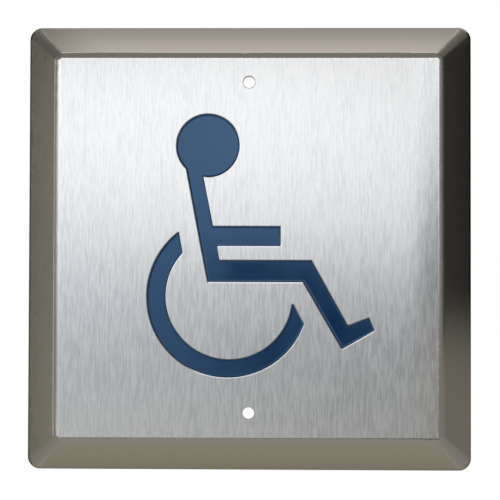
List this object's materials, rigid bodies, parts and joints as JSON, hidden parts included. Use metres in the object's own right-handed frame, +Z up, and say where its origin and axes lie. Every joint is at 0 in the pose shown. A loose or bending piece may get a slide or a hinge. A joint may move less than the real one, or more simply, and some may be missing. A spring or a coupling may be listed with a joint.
{
  "type": "push plate switch",
  "caption": "Square stainless push plate with bevelled sides and an engraved access pictogram, spring mounted over a snap-action switch.",
  "frame": {"origin": "centre of the mounting face, in the plane of the wall", "axes": "+Y into the wall, +Z up, +X to the right as seen from the front; the plate faces -Y"},
  "size_m": [0.1142, 0.0402, 0.1142],
  "materials": {
    "stainless_face": "vertically brushed flat face, satin bevels, stainless sheet",
    "blue_enamel": "semi-gloss blue enamel in the engraving",
    "zinc_plate": "bright zinc plated steel",
    "turned_steel": "turned stainless steel",
    "nylon_white": "natural white nylon",
    "nylon_blue": "blue nylon locking ring",
    "foam": "black closed-cell neoprene foam",
    "spring_wire": "bright spring wire",
    "switch_black": "black moulded thermoset",
    "switch_cover": "dark red moulded cover",
    "plunger_red": "red moulded button",
    "terminal_brass": "tin-bright brass strip",
    "contact_copper": "rolled copper alloy",
    "contact_silver": "silver contact rivet",
    "lever_steel": "rolled stainless spring strip"
  },
  "bodies": {
    "base": {"base_plate": "zinc_plate", "wall_gasket": "foam", "guide_bush_top_left": "nylon_white", "guide_bush_top_right": "nylon_white", "guide_bush_bottom_left": "nylon_white", "guide_bush_bottom_right": "nylon_white", "return_spring_top_left": "spring_wire", "return_spring_top_right": "spring_wire", "return_spring_bottom_left": "spring_wire", "return_spring_bottom_right": "spring_wire", "switch_bracket": "zinc_plate", "bracket_rivets": "turned_steel", "switch_screws": "zinc_plate", "switch_nuts": "zinc_plate", "switch_case": "switch_black", "switch_cover": "switch_cover", "terminal_common": "terminal_brass", "terminal_normally_open": "terminal_brass", "terminal_normally_closed": "terminal_brass", "lever_pin": "turned_steel"},
    "push_plate": {"face_plate": "stainless_face", "symbol_infill": "blue_enamel", "weld_studs": "turned_steel", "guide_sleeve_top_left": "turned_steel", "guide_sleeve_top_right": "turned_steel", "guide_sleeve_bottom_left": "turned_steel", "guide_sleeve_bottom_right": "turned_steel", "stud_washers": "zinc_plate", "stud_locknuts": "zinc_plate", "locknut_inserts": "nylon_blue", "striker_boss": "turned_steel", "striker_jam_nut": "zinc_plate", "striker_screw": "zinc_plate"},
    "lever": {"switch_lever": "lever_steel"},
    "plunger": {"switch_plunger": "plunger_red"},
    "contact": {"contact_blade": "contact_copper", "moving_contact": "contact_silver", "snap_spring": "contact_copper"}
  },
  "joints": [
    {"name": "plate_push", "type": "slide", "parent": "base", "child": "push_plate", "axis": [0, 1, 0], "range_m": [0, 0.0025], "stiffness_N_per_m": 4100, "springref_m": -0.002, "deforming": ["return_spring_top_left", "return_spring_top_right", "return_spring_bottom_left", "return_spring_bottom_right"]},
    {"name": "lever_hinge", "type": "hinge", "parent": "base", "child": "lever", "pos_m": [0, -0.0032, 0.014], "axis": [1, 0, 0], "range_deg": [0, 10.16]},
    {"name": "plunger_slide", "type": "slide", "parent": "base", "child": "plunger", "axis": [0, 1, 0], "range_m": [0, 0.000935]},
    {"name": "contact_hinge", "type": "hinge", "parent": "base", "child": "contact", "pos_m": [0, 0.0046, 0.0102], "axis": [1, 0, 0], "range_deg": [0, 3.15]}
  ],
  "couplings": [
    {"joint": "lever_hinge", "follows": "plate_push", "rad_per_m": 70.926},
    {"joint": "plunger_slide", "follows": "plate_push", "ratio": 0.37353},
    {"joint": "contact_hinge", "follows": "plate_push", "rad_per_m": 22}
  ]
}
